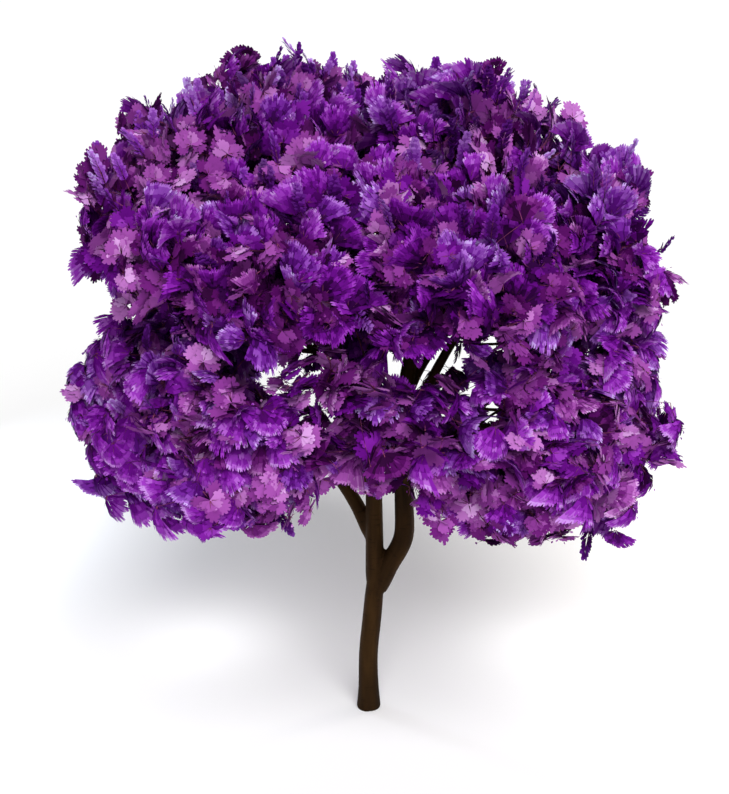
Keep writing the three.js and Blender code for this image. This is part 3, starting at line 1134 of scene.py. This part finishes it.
limb_place = give_limb_places(trunk_mesh, limb_lines)
wrinkles, cracks = (
    np.array([noise.noise(Vector(place)) for place in limb_place * repeats]) for repeats in (WRINKLES, CRACKS)
)
relief = CRACK_DEPTH * cracks - WRINKLE_DEPTH * np.clip(2 * wrinkles - 0.2, 0, 1)
skin = read_triples(trunk_mesh.vertices, "co") + relief[:, None] * read_triples(trunk_mesh.vertices, "normal")
skin[:, 2] = np.where(skin[:, 2] < GROUND_FLAT, 0, skin[:, 2])
trunk_mesh.vertices.foreach_set("co", skin.ravel())
trunk_mesh.materials.clear()
trunk_mesh.materials.append(bark)
print("the relief of the bark is", round(1000 * float(np.ptp(relief)), 1), "mm deep")

# %% [markdown]
# ## Branches and twigs
# The runs of grown wood are thick near the limbs and thread-thin at the sprays. The thick part keeps the
# bark of the limbs. Where a run is thinner than a finger it is a young shoot with a reddish skin, and three
# sides are enough for it. A run may pass from one to the other, so it is cut where its girth says so.

# %% Make the branches and twigs
YOUNG_BELOW = 0.0085  # metres of radius
TIP_TAPER = 0.7  # of its girth, at a run's end
OLD_SIDES, YOUNG_SIDES = 7, 3


def split_runs():
    """The runs' lines, sorted into old wood and young."""
    old, young = [], []
    for run in wood_runs:
        line = np.array([places[i] for i in run])
        girth = np.array([girths[i] for i in run])
        girth[0] = girth[1]
        girth[-1] *= TIP_TAPER
        if run[0] < len(root_places):
            girth = np.minimum(girth, root_caps[run[0]])
        turn = int((girth >= YOUNG_BELOW).sum())
        if turn >= 2:
            old.append((line[: turn + 1], girth[: turn + 1]))
        if len(line) - turn >= 2 or turn < 2:
            start = max(turn - 1, 0) if turn >= 2 else 0
            young.append((line[start:], girth[start:]))
    return old, young


old_lines, young_lines = split_runs()
old_wood = {"Sides": OLD_SIDES, "Finish": bark}
young_wood = {"Sides": YOUNG_SIDES, "Finish": young_twig}
branch_mesh = bake_nodes("branches", lines_mesh("branch_lines", old_lines), round_wood, old_wood)
give_limb_places(branch_mesh, old_lines)
twig_mesh = bake_nodes("twigs", lines_mesh("twig_lines", young_lines), round_wood, young_wood)
for mesh in (branch_mesh, twig_mesh):
    mesh.shade_smooth()
    print(mesh.name, triangle_count(mesh), "triangles")

# %% [markdown]
# ## One petal
# Two shapes are enough for all the blossom. A petal is long, narrow at its foot, widest near its round
# tip, and lies in two or three zones, from the foot to the rim. The zones are what the ladder of colours
# climbs on. Its rim may have two round teeth, which make a fan's edge as fine as if it had twice the
# petals. A sheet stands for florets that have run together flat: small lobes with narrow notches go all
# round it, from one side of its stalk to the other, and it keeps one tone all over. A few faces each are
# all that one can afford for something that is repeated a hundred thousand times.

# %% Make a petal and a sheet
PETAL_SHAPES = {  # how far along each pair of corners is, and its share of the full width
    3: ((0.42, 0.62), (0.82, 1.0), (1.0, 0.56)),
    2: ((0.66, 1.0), (1.0, 0.56)),
}
TEETH = ((0.47, 0.94), (0.20, 1.0), (0.0, 0.86), (-0.20, 1.0), (-0.47, 0.94))  # a rim of two round teeth
LOBE = ((-0.5, 0.69), (-0.27, 0.97), (0.20, 1.0))  # a sheet's lobe: turns from its middle, and reaches
SHEET_ARC = 4.4  # radians round a sheet's heart that its lobes take up


def petal(length, width, zones, toothed=False):
    """A petal on the origin that grows along +Y and faces +Z, with a face for each zone."""
    corners = [(0, 0, 0)]
    for along, wide in PETAL_SHAPES[zones]:
        corners += [(wide * width / 2, along * length, 0), (-wide * width / 2, along * length, 0)]
    faces = [(0, 1, 2)] + [(2 * i, 2 * i - 1, 2 * i + 1, 2 * i + 2) for i in range(1, zones)]
    if toothed:
        corners[-2:] = [(across * width, along * length, 0) for across, along in TEETH]
        faces[-1] = (2 * zones - 2, 2 * zones - 3, *range(2 * zones - 1, 2 * zones + 4))
    return np.array(corners), faces


def sheet(length, width, lobes, chance):
    """A flat sheet on the origin that grows along +Y: its heart, its stalk's end and its lobed rim."""
    turn = SHEET_ARC / lobes
    corners = [(0.0, 0.55 * length, 0.02 * length), (0.0, 0.0, 0.0)]
    for lobe in range(lobes):
        size = chance.uniform(0.76, 1.12)
        for offset, reach in LOBE:
            angle = turn * (lobe + 0.5 - lobes / 2 + offset + chance.normal(0, 0.04))
            across, along = reach * size * math.sin(angle), reach * size * math.cos(angle)
            corners.append((0.5 * width * across, (0.55 + 0.45 * along) * length, 0.0))
    last = len(corners) - 1
    return np.array(corners), [(0, i + 1, i) for i in range(1, last)] + [(0, 1, last)]


print("a petal has", len(petal(0.1, 0.05, 3)[0]), "corners")

# %% [markdown]
# ## Sprays
# A spray is a shoot's whole head of blossom. In the fan, rows of petals overlap like feathers, the longest
# row behind, and the whole fan is domed; where two rows overlap they have the same tone, so the fan
# brightens evenly towards its rim. In the broad spray a few sheets part from one stalk. The plume is a
# young spike with petals on both sides, like a feather. A few variants of each, turned and sized by
# chance, are enough: nobody can find the same one twice. The first fans are wide, the last ones long. The
# stalks in a spray's heart are kept apart, as they belong with the twigs.

# %% Build up a spray
PETAL_LENGTHS, PETAL_WIDTHS = (0.92, 1.1), (0.88, 1.14)  # shares of what it should be, by chance
THIRDS = (0, 2.094, 4.189)  # of a turn, in radians


class Spray:
    """Gathers the petals and the stalks of one spray, which grows along +Y from the origin."""

    def __init__(self, seed):
        self.rng = np.random.default_rng(seed)
        self.petals, self.stalks = ({"corners": [], "faces": [], "zones": []} for _ in range(2))

    def add(self, store, corners, faces, zones):
        first = sum(len(c) for c in store["corners"])
        store["corners"].append(corners)
        store["faces"] += [tuple(first + i for i in face) for face in faces]
        store["zones"] += zones

    def place(self, corners, foot, angle, tilt, twist):
        """Twists corners, tilts them up, turns them by angle to +X and sets them on a foot."""
        turn = Matrix.Rotation(-angle, 3, "Z") @ Matrix.Rotation(tilt, 3, "X")
        return corners @ np.array(turn @ Matrix.Rotation(twist, 3, "Y")).T + foot

    def add_petal(self, foot, angle, length, width, tones, tilt=0.0, twist=0.0, toothed=False):
        """A petal with a zone for each of the tones, which are rungs above the spray's own."""
        length *= self.rng.uniform(*PETAL_LENGTHS)
        width *= self.rng.uniform(*PETAL_WIDTHS)
        corners, faces = petal(length, width, len(tones), toothed)
        self.add(self.petals, self.place(corners, foot, angle, tilt, twist), faces, list(tones))

    def add_sheet(self, foot, angle, length, width, lobes, tilt, twist, tone):
        corners, faces = sheet(length, width, lobes, self.rng)
        self.add(self.petals, self.place(corners, foot, angle, tilt, twist), faces, [tone] * len(faces))

    def add_stalk(self, start, end, radius=0.0055):
        """A thin three-sided spike."""
        start, end = np.array(start, float), np.array(end, float)
        one = unit(np.cross(end - start, (0, 0, 1)) + 1e-9)
        other = unit(np.cross(end - start, one))
        ring = [start + radius * (math.cos(a) * one + math.sin(a) * other) for a in THIRDS]
        self.add(self.stalks, np.array(ring + [end]), [(0, 1, 3), (1, 2, 3), (2, 0, 3), (0, 2, 1)], [0] * 4)

    def dome(self, droop, cup, across=1.0, along=1.0):
        """Stretches the spray, and bends its tip and its sides away from +Z."""
        for store in (self.petals, self.stalks):
            for corners in store["corners"]:
                corners *= (across, along, 1.0)
                corners[:, 2] -= droop * corners[:, 1] ** 2 + cup * corners[:, 0] ** 2


def polar(radius, angle, height=0.0):
    return np.array((radius * math.sin(angle), radius * math.cos(angle), height))


# %% Make the fan and the plain fan
BUD = (0.034, 0.024)  # a bud's length and width, in metres


def round_an_arc(chance, number, arc, jitter):
    """Angles that are spread over an arc, from its half angle on one side to that on the other."""
    for i in range(number):
        yield arc * (2 * (i + 0.5) / number - 1) + chance.normal(0, jitter)


def fan_of_rows(seed, arc, rows, toothed):
    """Rows of petals on arcs of a half angle: how far the tips reach, petals, length, width, tones."""
    spray = Spray(seed)
    chance = spray.rng
    for row, (reach, number, length, width, tones) in enumerate(rows):
        for angle in round_an_arc(chance, number, arc, 0.03):
            foot = polar(reach * chance.uniform(0.93, 1.04) - length, angle, 0.011 * row)
            tilt, twist = chance.normal(0.02, 0.06), chance.normal(0, 0.12)
            shift = int(chance.choice((-1, 0, 0, 1)))
            own_tones = [max(tone + shift, 0) for tone in tones]
            spray.add_petal(foot, 1.12 * angle, length, width, own_tones, tilt, twist, toothed=row in toothed)
    return spray


def fan(seed):
    rows = (
        (0.238, 19, 0.130, 0.041, (1, 2, 3)),
        (0.200, 14, 0.120, 0.042, (1, 2)),
        (0.150, 8, 0.130, 0.042, (0, 1)),
    )
    spray = fan_of_rows(seed, 1.05, rows, toothed=(0, 1))
    chance = spray.rng
    for i, angle in enumerate(round_an_arc(chance, 3, 1.1, 0.08)):
        end = polar(chance.uniform(0.08, 0.15), angle, 0.05)
        spray.add_stalk(polar(0.01, angle, 0.01), end)
        if i % 2:
            spray.add_petal(end, angle, *BUD, (2, 3), 0.6, chance.uniform(-1, 1))
    slender = 0.0013 * seed - 0.2  # the first variants are wide, the last are long
    spray.dome(chance.uniform(0.8, 2.4), chance.uniform(1.5, 5.0), 1.0 - 0.4 * slender, 1.0 + 0.3 * slender)
    return spray


def plain_fan(seed):
    rows = ((0.24, 13, 0.13, 0.052, (1, 2)), (0.17, 7, 0.15, 0.058, (0, 1)))
    spray = fan_of_rows(seed, 1.0, rows, toothed=(0,))
    spray.add_stalk((0, 0, 0), (0, 0.15, 0.05))
    spray.dome(0.9, 0.9)
    return spray


# %% Make the broad spray and the plume


def broad(seed):
    """A ring of sheets round a stalk, and a few smaller ones in front of it."""
    spray = Spray(seed)
    chance = spray.rng
    rings = ((6, 2.3, 0.17, 0.0, 7), (4, 1.8, 0.115, 0.02, 5))  # sheets, half the arc, length, height, lobes
    for number, arc, length, height, lobes in rings:
        for angle in round_an_arc(chance, number, arc, 0.12):
            size = length * chance.uniform(0.82, 1.2) * (1.1 - 0.1 * abs(angle))
            foot = (0, 0.09, height + chance.uniform(0, 0.015))
            tilt, twist = chance.normal(0.0, 0.10), chance.normal(0, 0.18)
            tone = int(chance.random() < 0.35) + (height > 0)
            spray.add_sheet(foot, angle, size, 0.78 * size, lobes, tilt, twist, tone)
    for i in range(3):
        angle = chance.uniform(-2.2, 2.2)
        end = polar(chance.uniform(0.05, 0.12), angle, 0.06) + (0, 0.09, 0)
        spray.add_stalk((0, 0.09, 0.02), end)
        if i % 2:
            spray.add_petal(end, angle, *BUD, (1, 2), 0.5, chance.uniform(-1, 1))
    spray.add_stalk((0, 0, 0), (0, 0.1, 0.01), 0.006)
    spray.dome(chance.uniform(-0.4, 1.6), chance.uniform(-0.4, 1.6))
    return spray


def plume(seed):
    """A feather: pairs of petals up a spike, and a few along its middle, palest at its tip."""
    spray = Spray(seed)
    chance = spray.rng
    pairs = 11
    for pair in range(pairs):
        share = pair / (pairs - 1)
        length = 0.088 * math.sin(math.pi * (0.30 + 0.48 * share))
        tone = int(1.9 * share)
        for side in (-1, 1):
            angle = side * (0.80 - 0.5 * share) + chance.normal(0, 0.09)
            foot = (0, 0.03 + 0.24 * share, 0.004 * side)
            tilt = chance.normal(0.1, 0.15)
            spray.add_petal(foot, angle, length, 0.033, (tone, tone + 1), tilt, 0.3 * side)
        if pair % 2:
            foot = (0, 0.02 + 0.24 * share, 0.008)
            spray.add_petal(foot, chance.normal(0, 0.2), 0.8 * length, 0.034, (tone, tone + 1), 0.25)
    spray.add_stalk((0, 0, 0), (0, 0.25, 0.0), 0.005)
    spray.dome(chance.uniform(-1.2, 1.2), 0.0)
    return spray


# %% Make the models of all variants


def mesh_of(name, store, materials):
    """A mesh with a zone on each face."""
    mesh = bpy.data.meshes.new(name)
    mesh.from_pydata(np.concatenate(store["corners"]).tolist(), [], store["faces"])
    mesh.attributes.new("zone", "INT", "FACE").data.foreach_set("value", store["zones"])
    for material in materials:
        mesh.materials.append(material)
    mesh.shade_smooth()
    return mesh


makers = {"fan": fan, "broad": broad, "plume": plume, "plain": plain_fan}
petal_models = bpy.data.collections.new("petal_models")
stalk_models = bpy.data.collections.new("stalk_models")
model_names = [name for name in KINDS for _ in range(VARIANTS[name])]
for number, name in enumerate(model_names):
    spray = makers[name](100 * number + 7)
    kept = ((petal_models, spray.petals, petal_tones), (stalk_models, spray.stalks, [young_twig]))
    for models, store, materials in kept:
        label = f"{models.name}_{number:02}_{name}"
        models.objects.link(bpy.data.objects.new(label, mesh_of(label, store, materials)))
    print(name, triangle_count(petal_models.objects[-1].data), "triangles of petals")

# %% [markdown]
# ## Planting the sprays
# A second node tree stands a model on every seat. It picks the variant, turns it by the seat's own axis and
# sizes it, makes it real mesh, and then deals the colours: a face's rung is its spray's first rung plus the
# petal's zone.

# %% Build the node tree for planting


def planting_tree(name, materials):
    """Stands a model on each point, as the point's attributes say, and gives each face its rung's colour."""
    inputs = {"Models": "NodeSocketCollection", "Size": "NodeSocketFloat"}
    tree, given, result = new_node_tree(name, inputs)
    whole = {"Separate Children": True, "Reset Children": True}
    models = add_node(tree, "GeometryNodeCollectionInfo", inputs=whole, Collection=given["Models"])
    sizes = {0: read(tree, "size", "FLOAT"), 1: given["Size"]}
    stand = {
        "Points": given["Geometry"],
        "Instance": models,
        "Pick Instance": True,
        "Instance Index": read(tree, "kind", "INT"),
        "Rotation": read(tree, "turn", "QUATERNION"),
        "Scale": add_node(tree, "ShaderNodeMath", inputs=sizes, operation="MULTIPLY"),
    }
    planted = add_node(tree, "GeometryNodeInstanceOnPoints", inputs=stand)
    shape = add_node(tree, "GeometryNodeRealizeInstances", Geometry=planted)
    climb = {0: read(tree, "tint", "INT"), 1: read(tree, "zone", "INT")}
    rung = add_node(tree, "FunctionNodeIntegerMath", inputs=climb, operation="ADD")
    for number, material in enumerate(materials):
        pair = {2: rung, 3: number}
        same = add_node(tree, "FunctionNodeCompare", inputs=pair, data_type="INT", operation="EQUAL")
        painted = {"Geometry": shape, "Selection": same if len(materials) > 1 else True, "Material": material}
        shape = add_node(tree, "GeometryNodeSetMaterial", inputs=painted)
    tree.links.new(shape, result)
    return tree


plant_petals = planting_tree("plant_petals", petal_tones)
plant_stalks = planting_tree("plant_stalks", [young_twig])
print("node trees", plant_petals.name, "and", plant_stalks.name)

# %% Plant one piece of blossom for each mass
LIFE_SIZE = 1.0  # the models are made in metres


def seats_mesh(name, chosen):
    """The chosen sprays' feet as points that carry how each spray stands."""
    mesh = bpy.data.meshes.new(name)
    mesh.from_pydata(spray_foot[chosen].tolist(), [], [])
    turns = []
    for i in chosen:
        columns = np.stack([spray_side[i], spray_axis[i], spray_face[i]], axis=1)
        turns.append(Matrix(columns.tolist()).to_quaternion())
    for label, kind, values in (
        ("turn", "QUATERNION", np.array(turns, np.float32).ravel()),
        ("size", "FLOAT", spray_size[chosen].astype(np.float32)),
        ("kind", "INT", spray_kind[chosen].astype(np.int32)),
        ("tint", "INT", spray_tint[chosen].astype(np.int32)),
    ):
        mesh.attributes.new(label, kind, "POINT").data.foreach_set("value", values)
    return mesh


def add_piece(name, mesh, slot, nodes):
    """A finished piece of the tree, which rides on the frame's one body."""
    piece = put(name, mesh)
    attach(piece, "root")
    if nodes:
        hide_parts(*nodes)


total = 0
for number, name in enumerate(mass_names):
    chosen = shown[spray_mass[shown] == number]
    seats = seats_mesh("seats_" + name, chosen)
    mesh = bake_nodes("blossom_" + name, seats, plant_petals, {"Models": petal_models, "Size": LIFE_SIZE})
    add_piece(mesh.name, mesh, slot_of[name], [name])
    total += triangle_count(mesh)
    print(mesh.name, len(chosen), "sprays,", triangle_count(mesh), "triangles")

# %% Plant the stalks and add the wood
stalk_seats = seats_mesh("stalk_seats", shown)
stalk_mesh = bake_nodes("stalks", stalk_seats, plant_stalks, {"Models": stalk_models, "Size": LIFE_SIZE})
for mesh in (trunk_mesh, branch_mesh, twig_mesh, stalk_mesh):
    add_piece(mesh.name, mesh, "bark", limb_names if mesh is trunk_mesh else [])
    total += triangle_count(mesh)
print(triangle_count(stalk_mesh), "triangles of stalks,", total, "in the whole tree")

for models in (petal_models, stalk_models):
    for model in list(models.objects):
        bpy.data.objects.remove(model)
    bpy.data.collections.remove(models)

# %% [markdown]
# ## Size
# The visual tree keeps to the frame's size. The frame's box is printed.

# %% Print the frame's size
print("frame", [[round(v, 2) for v in c] for c in cad_box])
